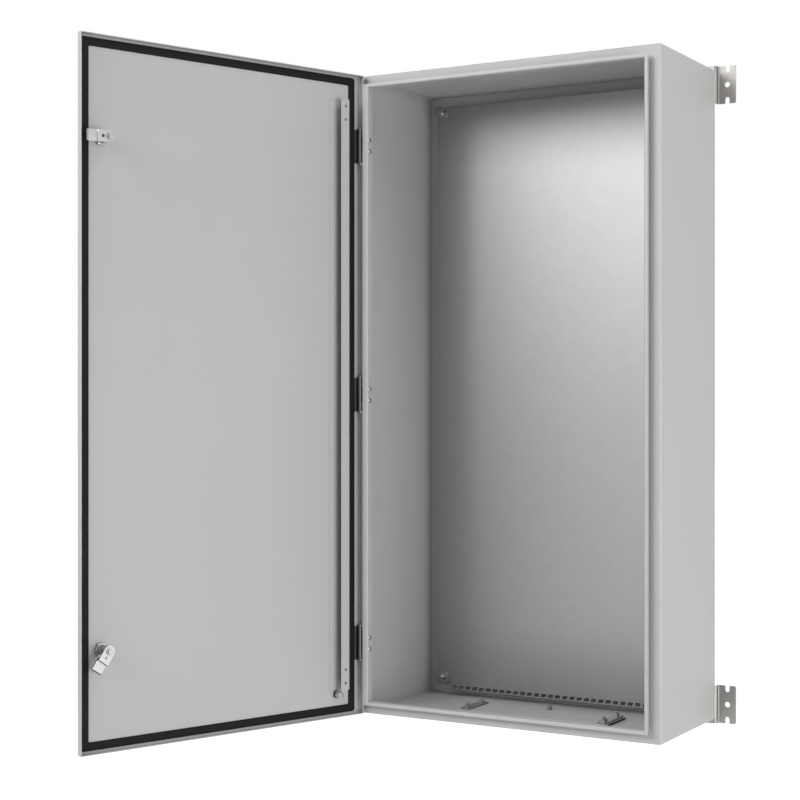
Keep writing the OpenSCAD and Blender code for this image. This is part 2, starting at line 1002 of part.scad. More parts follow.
// Plan view of the cam: round about the axis, blunt at the tip
module cam_outline() {
    r = cam_w / 2;
    circle(r = r);
    translate([0, -r])
        square([cam_len - cam_corner, cam_w]);
    translate([cam_len - 2 * cam_corner, cam_corner - r])
        square([2 * cam_corner, cam_w - 2 * cam_corner]);
    for (s = [-1, 1])
        translate([cam_len - cam_corner, s * (r - cam_corner)])
            circle(r = cam_corner);
}

// Side view of the cam: its tip steps towards the door to reach behind the flange
module cam_section() {
    start = cam_joggle - cam_slope / 2;
    finish = cam_joggle + cam_slope / 2;
    lean = cam_t / 2;
    polygon([
        [-cam_w, cam_seat_n],
        [start - lean, cam_seat_n],
        [finish - lean, cam_tip_n],
        [cam_len + cut_over, cam_tip_n],
        [cam_len + cut_over, cam_tip_n + cam_t],
        [finish + lean, cam_tip_n + cam_t],
        [start + lean, cam_seat_n + cam_t],
        [-cam_w, cam_seat_n + cam_t]
    ]);
}

module lock_cam(z, angle) {
    hole_w = square_w + 2 * run_gap;
    color(zinc_silver)
        at_lock(z)
            rotate([0, 0, angle])
                difference() {
                    intersection() {
                        linear_extrude(cam_seat_n + 2 * cam_t)
                            cam_outline();
                        rotate([90, 0, 0])
                            linear_extrude(2 * cam_w, center = true)
                                cam_section();
                    }
                    translate([0, 0, cam_seat_n - cut_over])
                        linear_extrude(cam_t + 2 * cut_over) {
                            square(hole_w, center = true);
                            translate([cam_window_x, 0])
                                square(cam_window, center = true);
                        }
                }
}

// Flanged hexagon screw that holds the cam on the core
module cam_bolt(z, angle) {
    color(zinc_silver)
        at_lock(z)
            rotate([0, 0, angle])
                translate([0, 0, cam_seat_n + cam_t]) {
                    cylinder(r = cam_flange_r, h = cam_flange_t);
                    translate([0, 0, cam_flange_t])
                        hexagon(m5_af, m5_h);
                    translate([0, 0, run_gap - cam_bolt_len])
                        cylinder(r = m5_r, h = cam_bolt_len);
                }
}

body_shell();
rear_panel();
mounting_plate();
plate_studs();
plate_washers();
plate_nuts();
wall_bracket(-1, 1);  // bracket_top_left
wall_bracket(1, 1);  // bracket_top_right
wall_bracket(-1, -1);  // bracket_bottom_left
wall_bracket(1, -1);  // bracket_bottom_right
bracket_bolts();
bracket_nuts();
gland_plate();
gland_seal();
gland_clamp(-1);  // gland_clamp_left
gland_clamp(1);  // gland_clamp_right
gland_studs();
gland_nuts();
gland_earth_stud();
gland_earth_nut();
hinge_leaf(hinge_places[0]);  // hinge_leaf_top
hinge_leaf(hinge_places[1]);  // hinge_leaf_middle
hinge_leaf(hinge_places[2]);  // hinge_leaf_bottom
hinge_pin(hinge_places[0]);  // hinge_pin_top
hinge_pin(hinge_places[1]);  // hinge_pin_middle
hinge_pin(hinge_places[2]);  // hinge_pin_bottom
hinge_screws();
door_panel();
door_gasket();
door_stiffener();
door_hinge(hinge_places[0]);  // door_hinge_top
door_hinge(hinge_places[1]);  // door_hinge_middle
door_hinge(hinge_places[2]);  // door_hinge_bottom
door_earth_stud();
door_earth_nut();
lock_housing(lock_span);  // upper_lock_housing
lock_nut(lock_span);  // upper_lock_nut
lock_core(lock_span, upper_cam_angle);  // upper_lock_core
lock_cam(lock_span, upper_cam_angle);  // upper_cam
cam_bolt(lock_span, upper_cam_angle);  // upper_cam_bolt
lock_housing(-lock_span);  // lower_lock_housing
lock_nut(-lock_span);  // lower_lock_nut
lock_core(-lock_span, lower_cam_angle);  // lower_lock_core
lock_cam(-lock_span, lower_cam_angle);  // lower_cam
cam_bolt(-lock_span, lower_cam_angle);  // lower_cam_bolt
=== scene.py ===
# %% [markdown]
# # A wall cabinet with its door open
# The object is a wall-mounted cabinet of folded sheet steel, painted light grey. Its door stands open and shows a
# foamed seal, two cam locks and a stiffener. Inside are a zinc mounting plate and a bolted gland plate. The solids
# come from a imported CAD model, which stays as it is. This lesson gives every piece its finish, and it rebuilds the
# pieces that need a finer shape: sheet with broken edges, cams with a bent tip, nuts with a chamfer, studs with a
# thread, a domed seal.

# %% Load the frame
import json
import math

import bmesh
import bpy
from mathutils import Euler, Matrix, Vector


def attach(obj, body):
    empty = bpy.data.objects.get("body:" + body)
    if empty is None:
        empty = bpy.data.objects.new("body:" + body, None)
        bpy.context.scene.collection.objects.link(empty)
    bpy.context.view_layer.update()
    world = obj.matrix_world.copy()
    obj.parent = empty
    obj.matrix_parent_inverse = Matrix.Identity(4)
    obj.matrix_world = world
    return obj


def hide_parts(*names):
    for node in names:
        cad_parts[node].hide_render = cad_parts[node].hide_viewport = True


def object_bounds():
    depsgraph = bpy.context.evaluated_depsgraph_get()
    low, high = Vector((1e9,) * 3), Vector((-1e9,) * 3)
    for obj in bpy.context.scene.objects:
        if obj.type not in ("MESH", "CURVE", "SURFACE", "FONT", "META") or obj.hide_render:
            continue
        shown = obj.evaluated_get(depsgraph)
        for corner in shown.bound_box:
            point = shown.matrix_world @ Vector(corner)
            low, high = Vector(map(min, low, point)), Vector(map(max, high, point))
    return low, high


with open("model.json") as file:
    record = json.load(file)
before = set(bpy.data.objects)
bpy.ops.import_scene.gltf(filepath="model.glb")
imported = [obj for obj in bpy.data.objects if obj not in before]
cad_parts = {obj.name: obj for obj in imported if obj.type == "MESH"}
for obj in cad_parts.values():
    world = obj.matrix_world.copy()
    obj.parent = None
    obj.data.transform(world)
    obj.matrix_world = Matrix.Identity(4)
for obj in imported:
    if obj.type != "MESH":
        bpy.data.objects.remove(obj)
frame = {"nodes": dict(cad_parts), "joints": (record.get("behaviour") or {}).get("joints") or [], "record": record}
cad_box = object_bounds()
MM = 0.001
nodes = frame["nodes"]
record = frame["record"]
body_of = {node: body for body, group in record["behaviour"]["bodies"].items() for node in group}
print("nodes:", len(nodes), "box:", [round(x, 4) for corner in cad_box for x in corner])

# %% [markdown]
# ## Camera
# The picture was taken level, from half a body's height, and from the right of the middle. Six edges of the body gave
# the place and the angle, so no shift is needed: a level camera keeps all upright edges upright.

# %% Camera
LENS_MM = 75
CAMERA_PLACE = Vector((1.33618, -2.97254, -0.00998))
CAMERA_AZIMUTH = math.radians(30)
CABINET_MIDDLE = Vector((0, -0.15, 0))

lens = bpy.data.cameras.new("camera")
lens.lens = LENS_MM
camera = bpy.data.objects.new("camera", lens)
camera.location = CAMERA_PLACE
camera.rotation_euler = (math.radians(90), 0, CAMERA_AZIMUTH)
bpy.context.scene.collection.objects.link(camera)
bpy.context.scene.camera = camera
bpy.context.scene.view_settings.view_transform = "Standard"
print("camera", round((CAMERA_PLACE - CABINET_MIDDLE).length, 2), "m from the cabinet")


# %% [markdown]
# ## Small tools
# A colour is written as the sRGB code that a paint program shows, and shaders want linear light, so one function turns
# the one into the other. A second function adds a node to a tree: sockets are linked, and any other value is set. It
# serves shader trees and geometry trees alike.

# %% Small tools
def linear(code):
    """Linear RGBA of an sRGB code such as #cccccb, by the curve of the sRGB standard."""
    parts = [int(code[i:i + 2], 16) / 255 for i in (1, 3, 5)]
    return [c / 12.92 if c <= 0.04045 else ((c + 0.055) / 1.055) ** 2.4 for c in parts] + [1.0]


def add(tree, kind, inputs=None, **properties):
    """Adds a node, sets its properties, and links or sets its inputs. A list of sockets goes into one input."""
    node = tree.nodes.new(kind)
    for name, value in properties.items():
        setattr(node, name, value)
    for key, value in (inputs or {}).items():
        sources = value if isinstance(value, list) else [value]
        if isinstance(sources[0], bpy.types.NodeSocket):
            for source in sources:
                tree.links.new(source, node.inputs[key])
        else:
            node.inputs[key].default_value = value
    return node


def per_metre(millimetres):
    """Texture scale at which one feature of a pattern is this long."""
    return 1 / (millimetres * MM)


print("paint grey in linear light:", [round(c, 3) for c in linear("#cccccb")])


# %% [markdown]
# ## Finishes
# Each finish starts from the real one. A blank has an output, one shader and the object's own coordinates, which are
# metres in the cabinet's frame, so a pattern's scale can be worked out from a size in millimetres. A Mix node has
# sockets for numbers, vectors and colours under the same names, so its colour sockets go by their places.

# %% Blank finish
COLOUR_A, COLOUR_B, MIXED = 6, 7, 2


def blank(name, colour, metallic, roughness):
    """New material with one shader. Returns the material, its tree, the shader and the coordinates."""
    material = bpy.data.materials.new(name)
    material.use_nodes = True
    tree = material.node_tree
    tree.nodes.clear()
    sockets = {"Base Color": linear(colour), "Metallic": metallic, "Roughness": roughness}
    shader = add(tree, "ShaderNodeBsdfPrincipled", sockets)
    add(tree, "ShaderNodeOutputMaterial", {"Surface": shader.outputs["BSDF"]})
    place = add(tree, "ShaderNodeTexCoord").outputs["Object"]
    return material, tree, shader, place


def drive(tree, shader, colour, gloss, relief):
    """Lets three nodes drive the shader's colour, roughness and normal."""
    tree.links.new(colour.outputs[MIXED], shader.inputs["Base Color"])
    tree.links.new(gloss.outputs["Result"], shader.inputs["Roughness"])
    tree.links.new(relief.outputs["Normal"], shader.inputs["Normal"])


# %% [markdown]
# ### Edges
# Molten powder draws back from a sharp edge, so the coat is thinner there. The paint is also set a shade paler along
# its edges, partly for that thin coat and partly as a painted highlight, the line of light that a broken edge catches.
# Plating is rubbed bright where hands and tools touch it first. One small group of nodes finds such places: it compares
# the true normal with one that is rounded over a few millimetres, and the two differ only beside an edge.

# %% Edges
EDGE_SAMPLES = 4
EDGE_MATCH = 0.85


def along_edges(tree, width):
    """1 on a sharp edge, and 0 from about this many millimetres away from it."""
    rounded = add(tree, "ShaderNodeBevel", {"Radius": width * MM}, samples=EDGE_SAMPLES)
    plain = add(tree, "ShaderNodeNewGeometry")
    pair = {0: rounded.outputs["Normal"], 1: plain.outputs["Normal"]}
    match = add(tree, "ShaderNodeVectorMath", pair, operation="DOT_PRODUCT")
    span = {"Value": match.outputs["Value"], "From Min": 1.0, "From Max": EDGE_MATCH}
    return add(tree, "ShaderNodeMapRange", span).outputs["Result"]


# %% [markdown]
# ### Inner corners
# In the photo, folds and gaps are darker than the lamps of this scene make them, so the finish darkens the colour in
# inner corners. A little of that is the coat, because charged powder hardly enters an inner corner and is thin there.
# The rest is painted shade, the shadow that falls in folds and gaps, and its strength was set against the photo. Metal
# gets the same painted shade in its inner corners. A node measures how much of the room a spot can see: nearly all of
# it on an open face, very little in a narrow gap.

# %% Inner corners
CORNER_SAMPLES = 6
SEEN_IN_GAP = 0.15
SEEN_IN_OPEN = 0.65


def open_to_room(tree, reach):
    """1 on an open face, down to 0 in an inner corner that closes within this many millimetres."""
    seen = add(tree, "ShaderNodeAmbientOcclusion", {"Distance": reach * MM}, samples=CORNER_SAMPLES)
    span = {"Value": seen.outputs["AO"], "From Min": SEEN_IN_GAP, "From Max": SEEN_IN_OPEN}
    return add(tree, "ShaderNodeMapRange", span).outputs["Result"]


# %% [markdown]
# ### Powder coat
# Epoxy polyester powder is blown on dry and baked, and it flows to an even skin with a faint orange peel. The peel is
# about 2 mm from crest to crest, less than two pixels here, so it is drawn at 5 mm to show at all. The gloss is low,
# so the roughness stays near 0.45, and large soft clouds keep the tone from being dead flat.

# %% Powder coat
PEEL_MM = 5
PEEL_DEPTH_MM = 0.03
CLOUD_MM = 160
THIN_EDGE_HIGHLIGHT_MM = 1.5
PAINT_CORNER_SHADE_MM = 40


def powder_coat():
    """Light grey powder coat: even, half matt, with a shallow orange peel."""
    material, tree, shader, place = blank("powder_coat_light_grey", "#cccccb", 0.0, 0.45)
    clouds = add(tree, "ShaderNodeTexNoise", {"Vector": place, "Scale": per_metre(CLOUD_MM), "Detail": 2.0})
    tones = {"Factor": clouds.outputs["Fac"], COLOUR_A: linear("#cacac9"), COLOUR_B: linear("#cececd")}
    tone = add(tree, "ShaderNodeMix", tones, data_type="RGBA")
    # The paler colour along the edges is partly the thin coat and partly a painted highlight.
    thin_edge_highlight = {"Factor": along_edges(tree, THIN_EDGE_HIGHLIGHT_MM), COLOUR_A: tone.outputs[MIXED], COLOUR_B: linear("#dadad9")}
    edged = add(tree, "ShaderNodeMix", thin_edge_highlight, data_type="RGBA")
    # Inner corners are darkened: mostly painted shade, and a little the thin coat there.
    corner_shading = {"Factor": open_to_room(tree, PAINT_CORNER_SHADE_MM), COLOUR_A: linear("#7c7c7b"), COLOUR_B: edged.outputs[MIXED]}
    coat = add(tree, "ShaderNodeMix", corner_shading, data_type="RGBA")
    peel = add(tree, "ShaderNodeTexNoise", {"Vector": place, "Scale": per_metre(PEEL_MM), "Detail": 1.0})
    gloss = add(tree, "ShaderNodeMapRange", {"Value": peel.outputs["Fac"], "To Min": 0.4, "To Max": 0.5})
    skin = {"Height": peel.outputs["Fac"], "Distance": PEEL_DEPTH_MM * MM, "Strength": 0.5}
    relief = add(tree, "ShaderNodeBump", skin)
    drive(tree, shader, coat, gloss, relief)
    return material


paint = powder_coat()
print(paint.name)

# %% [markdown]
# ### Galvanised sheet
# The mounting plate is hot-dip galvanised and rolled once more, which flattens the zinc flowers to faint cells. That
# gives a satin metal: full metallic, roughness near 0.4, with a fine grain along the rolling direction, which runs up
# the plate.

# %% Galvanised sheet
SPANGLE_MM = 14
ROLL_MM = 1.5
ROLL_DEPTH_MM = 0.01
ROLL_STRETCH = 0.02


def galvanised_sheet():
    """Skin-passed galvanised steel: grey satin metal with faint flowers and a rolled grain."""
    material, tree, shader, place = blank("galvanised_steel_sheet", "#959595", 1.0, 0.44)
    cells = add(tree, "ShaderNodeTexVoronoi", {"Vector": place, "Scale": per_metre(SPANGLE_MM)})
    flower = add(tree, "ShaderNodeSeparateColor", {"Color": cells.outputs["Color"]})
    tones = {"Factor": flower.outputs["Red"], COLOUR_A: linear("#949494"), COLOUR_B: linear("#969696")}
    tone = add(tree, "ShaderNodeMix", tones, data_type="RGBA")
    along = add(tree, "ShaderNodeMapping", {"Vector": place, "Scale": (1, 1, ROLL_STRETCH)})
    grain = {"Vector": along.outputs["Vector"], "Scale": per_metre(ROLL_MM), "Detail": 2.0}
    rolled = add(tree, "ShaderNodeTexNoise", grain)
    gloss = add(tree, "ShaderNodeMapRange", {"Value": rolled.outputs["Fac"], "To Min": 0.42, "To Max": 0.46})
    lines = {"Height": rolled.outputs["Fac"], "Distance": ROLL_DEPTH_MM * MM, "Strength": 0.1}
    relief = add(tree, "ShaderNodeBump", lines)
    drive(tree, shader, tone, gloss, relief)
    return material


galvanised = galvanised_sheet()
print(galvanised.name)

# %% [markdown]
# ### Zinc plating
# Screws and nuts are plated with bright zinc. It is smoother than the sheet and picks up fine handling marks, so its
# tone and gloss drift over a few millimetres. Cams and brackets are pressed from thick strip, and the plating over the
# worked steel is a little darker and warmer. The bend of a bracket shines in the photo, so its inner corner is painted
# pale, a painted highlight, where other metals get painted shade. The hinge leaves have a dull, thicker coat, and the
# locks are die-cast zinc under a nickel skin.

# %% Zinc plating
HANDLING_MM = 6
HANDLING_DEPTH_MM = 0.01
RUBBED_MM = 0.8
METAL_CORNER_REACH_MM = 8


def plated(name, dark, pale, smoothest, roughest, rubbed="#c4c4c3", corner="#4a4a49"):
    """Plated metal whose tone and gloss drift over a few millimetres, with rubbed edges and a painted shading colour in
    its inner corners.
    """
    material, tree, shader, place = blank(name, pale, 1.0, smoothest)
    marks = add(tree, "ShaderNodeTexNoise", {"Vector": place, "Scale": per_metre(HANDLING_MM), "Detail": 4.0})
    tones = {"Factor": marks.outputs["Fac"], COLOUR_A: linear(dark), COLOUR_B: linear(pale)}
    tone = add(tree, "ShaderNodeMix", tones, data_type="RGBA")
    bare = {"Factor": along_edges(tree, RUBBED_MM), COLOUR_A: tone.outputs[MIXED], COLOUR_B: linear(rubbed)}
    bright = add(tree, "ShaderNodeMix", bare, data_type="RGBA")
    # Inner corners take the given colour: painted shade for most metals, and a painted highlight on the bends of the
    # brackets.
    corner_shading = {"Factor": open_to_room(tree, METAL_CORNER_REACH_MM), COLOUR_A: linear(corner), COLOUR_B: bright.outputs[MIXED]}
    worn_with_corner_shading = add(tree, "ShaderNodeMix", corner_shading, data_type="RGBA")
    span = {"Value": marks.outputs["Fac"], "To Min": smoothest, "To Max": roughest}
    gloss = add(tree, "ShaderNodeMapRange", span)
    scuffs = {"Height": marks.outputs["Fac"], "Distance": HANDLING_DEPTH_MM * MM, "Strength": 0.2}
    relief = add(tree, "ShaderNodeBump", scuffs)
    drive(tree, shader, worn_with_corner_shading, gloss, relief)
    return material


bright_zinc = plated("bright_zinc_plating", "#8f9091", "#a6a7a7", 0.26, 0.4)
cam_zinc = plated("zinc_plated_cam_steel", "#9a9898", "#adabab", 0.26, 0.38)
# The pale corner colour of the brackets is a painted highlight on their bends.
bracket_zinc = plated("zinc_plated_bracket_steel", "#8e8c8a", "#9a9896", 0.42, 0.52, corner="#f2f2f0")
dull_zinc = plated("dull_zinc_plating", "#4f5053", "#626466", 0.4, 0.55, rubbed="#8f9090")
die_cast = plated("nickel_plated_die_casting", "#929190", "#a9a8a6", 0.2, 0.32)
print([m.name for m in (bright_zinc, cam_zinc, bracket_zinc, dull_zinc, die_cast)])

# %% [markdown]
# ### Foamed seal
# Polyurethane is poured on the door as a bead and foams up. It has a slightly leathery black skin, dotted with pores of
# about a millimetre. They are drawn at 3 mm, the least that shows. The pores swallow most of the mirror light, so the
# shader's specular level is low.

# %% Foamed seal
PORE_MM = 3
PORE_DEPTH_MM = 0.3


def polyurethane_foam():
    """Black foam with a closed skin: dark, half matt and finely pitted."""
    material, tree, shader, place = blank("black_polyurethane_foam", "#121212", 0.0, 0.7)
    shader.inputs["Specular IOR Level"].default_value = 0.2
    pores = add(tree, "ShaderNodeTexNoise", {"Vector": place, "Scale": per_metre(PORE_MM), "Detail": 3.0})
    tones = {"Factor": pores.outputs["Fac"], COLOUR_A: linear("#0f0f0f"), COLOUR_B: linear("#171716")}
    tone = add(tree, "ShaderNodeMix", tones, data_type="RGBA")
    gloss = add(tree, "ShaderNodeMapRange", {"Value": pores.outputs["Fac"], "To Min": 0.62, "To Max": 0.8})
    pits = {"Height": pores.outputs["Fac"], "Distance": PORE_DEPTH_MM * MM, "Strength": 0.4}
    relief = add(tree, "ShaderNodeBump", pits)
    drive(tree, shader, tone, gloss, relief)
    return material


foam = polyurethane_foam()
print(foam.name)


# %% [markdown]
# ## Folded and cut sheet
# The CAD solids have the right folds, but each cut edge is a perfect corner, which catches no light. A copy of the
# mesh is merged, its flat triangles are joined into whole faces, and a Bevel modifier breaks every edge by a fraction
# of a millimetre, as deburring and paint do. Weighted normals keep the flat faces flat.

# %% Tools for pieces
MERGE_MM = 0.001
FLAT_DEG = 0.3
EDGE_DEG = 28
SMOOTH_DEG = 48


def clean_copy(node):
    """A copy of a CAD node's mesh with merged corners and whole flat faces."""
    mesh = nodes[node].data.copy()
    work = bmesh.new()
    work.from_mesh(mesh)
    bmesh.ops.remove_doubles(work, verts=work.verts, dist=MERGE_MM * MM)
    bmesh.ops.dissolve_limit(work, angle_limit=math.radians(FLAT_DEG), verts=work.verts, edges=work.edges)
    work.to_mesh(mesh)
    work.free()
    return mesh


def freeze(piece):
    """Applies a piece's modifiers: its evaluated mesh becomes its own."""
    graph = bpy.context.evaluated_depsgraph_get()
    mesh = bpy.data.meshes.new_from_object(piece.evaluated_get(graph))
    piece.modifiers.clear()
    piece.data = mesh


def new_piece(name, mesh):
    """An object at the origin, in the scene."""
    piece = bpy.data.objects.new(name, mesh)
    bpy.context.scene.collection.objects.link(piece)
    return piece


def finish_piece(piece, material, node):
    """Smooths a piece where it is round, gives it its finish, and puts it in the place of a CAD node."""
    piece.data.shade_smooth()
    piece.data.set_sharp_from_angle(angle=math.radians(SMOOTH_DEG))
    piece.modifiers.new("flat faces", "WEIGHTED_NORMAL").keep_sharp = True
    freeze(piece)
    piece.data.materials.clear()
    piece.data.materials.append(material)
    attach(piece, body_of[node])
    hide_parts(node)
    print(piece.name, len(piece.data.polygons), "faces")


# %% [markdown]
# Sheet is sheared or laser-cut and then painted, so its edges are broken very little. The hinge pins are turned, which
# rounds them more, so they catch a bright line of light.

# %% Sheet and small solids with broken edges
EDGE_SEGMENTS = 2
SHEET_EDGE_MM = 0.35
SHEETS = {
    paint: ["body_shell", "rear_panel", "door_panel", "door_stiffener", "gland_plate"],
    galvanised: ["mounting_plate"],
    bracket_zinc: ["bracket_top_left", "bracket_top_right", "bracket_bottom_left", "bracket_bottom_right"],
    bright_zinc: ["gland_clamp_left", "gland_clamp_right", "upper_cam_bolt", "lower_cam_bolt", "plate_washers"],
    dull_zinc: ["hinge_leaf_top", "hinge_leaf_middle", "hinge_leaf_bottom", "door_hinge_top", "door_hinge_middle",
                "door_hinge_bottom"],
    die_cast: ["upper_lock_housing", "lower_lock_housing", "upper_lock_core", "lower_lock_core"],
    foam: ["gland_seal"],
}
ROUND_EDGE_MM = 0.7
PINS = ["hinge_pin_top", "hinge_pin_middle", "hinge_pin_bottom"]


def dressed(node, mesh, material, edge):
    """A node's finished piece: this mesh, with its edges broken by this many millimetres."""
    piece = new_piece(node + "_finished", mesh)
    bevel = piece.modifiers.new("broken edges", "BEVEL")
    bevel.width = edge * MM
    bevel.segments = EDGE_SEGMENTS
    bevel.limit_method = "ANGLE"
    bevel.angle_limit = math.radians(EDGE_DEG)
    freeze(piece)
    finish_piece(piece, material, node)


for material, group in SHEETS.items():
    for node in group:
        dressed(node, clean_copy(node), material, SHEET_EDGE_MM)
for node in PINS:
    dressed(node, clean_copy(node), bright_zinc, ROUND_EDGE_MM)


# %% [markdown]
# ## Places of the fasteners
# A fastener is the same shape at every place, so its shape is made once and stood on points. The points come from the
# CAD: a node's mesh is split into its solids, and each solid is measured along the axis on which it is screwed in.
# A turn says where that axis points: to the front, to the back, up, into the cabinet, or inwards off the open door.

# %% Turns and places
def joint_named(name):
    """What the frame says of a joint."""
    return next(joint for joint in frame["joints"] if joint["name"] == name)


swing = joint_named("door_swing")
hinge_axis = Matrix.Translation(Vector(swing["pos_m"]))
door_turn = Matrix.Rotation(-math.radians(swing["range_deg"][1]), 4, "Z")
shut_to_open = hinge_axis @ door_turn @ hinge_axis.inverted()

UP = Euler((0, 0, 0)).to_quaternion()
TO_FRONT = Euler((math.pi / 2, 0, 0)).to_quaternion()
TO_BACK = Euler((-math.pi / 2, 0, 0)).to_quaternion()
TO_RIGHT = Euler((0, math.pi / 2, 0)).to_quaternion()
OFF_DOOR = door_turn.to_quaternion() @ TO_BACK


def solids(node, turn):
    """Low and high corner of each solid of a node, measured along the turned axes."""
    work = bmesh.new()
    work.from_mesh(nodes[node].data)
    bmesh.ops.remove_doubles(work, verts=work.verts, dist=MERGE_MM * MM)
    back = turn.inverted()
    rest = set(work.verts)
    boxes = []
    while rest:
        group = [rest.pop()]
        for vert in group:
            linked = {edge.other_vert(vert) for edge in vert.link_edges} & rest
            rest -= linked
            group.extend(linked)
        spots = [back @ vert.co for vert in group]
        boxes.append((Vector(map(min, zip(*spots))), Vector(map(max, zip(*spots)))))
    work.free()
    return sorted(boxes, key=lambda box: tuple(box[0]))


def stand_points(name, node, turn, lift=0.0):
    """Loose points at the feet of a node's solids, raised by a lift, each with its turn."""
    feet = []
    for low, high in solids(node, turn):
        foot = (low + high) / 2
        foot.z = low.z + lift
        feet.append(turn @ foot)
    mesh = bpy.data.meshes.new(name)
    mesh.from_pydata(feet, [], [])
    turns = mesh.attributes.new("turn", "QUATERNION", "POINT")
    for item in turns.data:
        item.value = turn
    return new_piece(name, mesh)


print("plate studs:", [[round(x / MM, 1) for x in low] for low, high in solids("plate_studs", TO_FRONT)])


# %% [markdown]
# ## Cams
# A cam is stamped from strip and tumbled in a drum, which rounds its edges. In the photo its end seems to be bent up a
# little, probably so that it slides under the land instead of catching on it. The bend is made here: the mesh is cut
# across near its tip, and what lies beyond the cut is lifted off the door and drawn back, more and more towards the
# end.

# %% Cams
TIP_MM = 3.5
TIP_BEND = math.radians(45)
TIP_SHARE = 0.9
CAMS = {"upper_cam": "upper_lock_turn", "lower_cam": "lower_lock_turn"}


def bent_tip(mesh, axis_point):
    """Lifts the end of a cam off the door. The point is on the axis of its lock, and the tip is farthest from it."""
    lift = OFF_DOOR @ Vector((0, 0, 1))
    work = bmesh.new()
    work.from_mesh(mesh)
    flat = [(vert.co - axis_point) - lift * lift.dot(vert.co - axis_point) for vert in work.verts]
    far = max(spot.length for spot in flat)
    ahead = sum((spot for spot in flat if spot.length > TIP_SHARE * far), Vector()).normalized()
    start = max(spot.dot(ahead) for spot in flat) - TIP_MM * MM
    whole = work.verts[:] + work.edges[:] + work.faces[:]
    bmesh.ops.bisect_plane(work, geom=whole, plane_co=axis_point + ahead * start, plane_no=ahead)
    for vert in work.verts:
        past = max((vert.co - axis_point).dot(ahead) - start, 0)
        vert.co += past * (lift * math.sin(TIP_BEND) - ahead * (1 - math.cos(TIP_BEND)))
    work.to_mesh(mesh)
    work.free()
    return mesh


for node, joint_name in CAMS.items():
    axis_point = Vector(joint_named(joint_name)["pos_m"])
    dressed(node, bent_tip(clean_copy(node), axis_point), cam_zinc, ROUND_EDGE_MM)


# %% [markdown]
# ## Recipes for fasteners
# A recipe is a geometry tree with a named input for each size. It ends in the same way each time: the shape is stood
# on every point with the point's turn, the copies become real mesh, and the finish is set. The result is kept as a
# plain mesh, so no recipe is left on a finished piece.

# %% Start, end and use of a recipe
def recipe(name, sizes):
    """A geometry tree with named inputs for its sizes and its finish. Returns the tree and its inputs."""
    tree = bpy.data.node_groups.new(name, "GeometryNodeTree")
    tree.interface.new_socket("Geometry", in_out="INPUT", socket_type="NodeSocketGeometry")
    for size in sizes:
        tree.interface.new_socket(size, in_out="INPUT", socket_type="NodeSocketFloat")
    tree.interface.new_socket("Finish", in_out="INPUT", socket_type="NodeSocketMaterial")
    tree.interface.new_socket("Geometry", in_out="OUTPUT", socket_type="NodeSocketGeometry")
    return tree, add(tree, "NodeGroupInput").outputs


def stand_on_points(tree, given, shape):
    """Ends a recipe: the shape stands on every point, as real mesh with its finish."""
    turn = add(tree, "GeometryNodeInputNamedAttribute", {"Name": "turn"}, data_type="QUATERNION")
    stood = {"Points": given["Geometry"], "Instance": shape, "Rotation": turn.outputs["Attribute"]}
    copies = add(tree, "GeometryNodeInstanceOnPoints", stood)
    real = add(tree, "GeometryNodeRealizeInstances", {"Geometry": copies.outputs["Instances"]})
    coated = {"Geometry": real.outputs["Geometry"], "Material": given["Finish"]}
    done = add(tree, "GeometryNodeSetMaterial", coated)
    add(tree, "NodeGroupOutput", {"Geometry": done.outputs["Geometry"]})


def cook(piece, tree, values):
    """Runs a recipe on a piece's points with these values and keeps the result as a plain mesh."""
    step = piece.modifiers.new(tree.name, "NODES")
    step.node_group = tree
    for socket in tree.interface.items_tree:
        if socket.in_out == "INPUT" and socket.name in values:
            step[socket.identifier] = values[socket.name]
    freeze(piece)
    leftover = piece.data.attributes.get("turn")
    if leftover:
        piece.data.attributes.remove(leftover)


# %% [markdown]
# ### Hexagon nuts and heads
# A nut is cut from hexagon bar, and its corners are turned off at 30 degrees on both ends. So the recipe takes a
# six-sided prism and keeps only what is also inside two blunt cones. A bore goes through it, or none for a bolt head.

# %% Hexagon recipe
HEX_CORNER = 1 / math.sqrt(3)
CHAMFER_SLOPE = 1 / math.tan(math.radians(30))
CROWN = 0.48
SPARE = 0.1
CONE_SIDES = 48
BORE_SIDES = 36


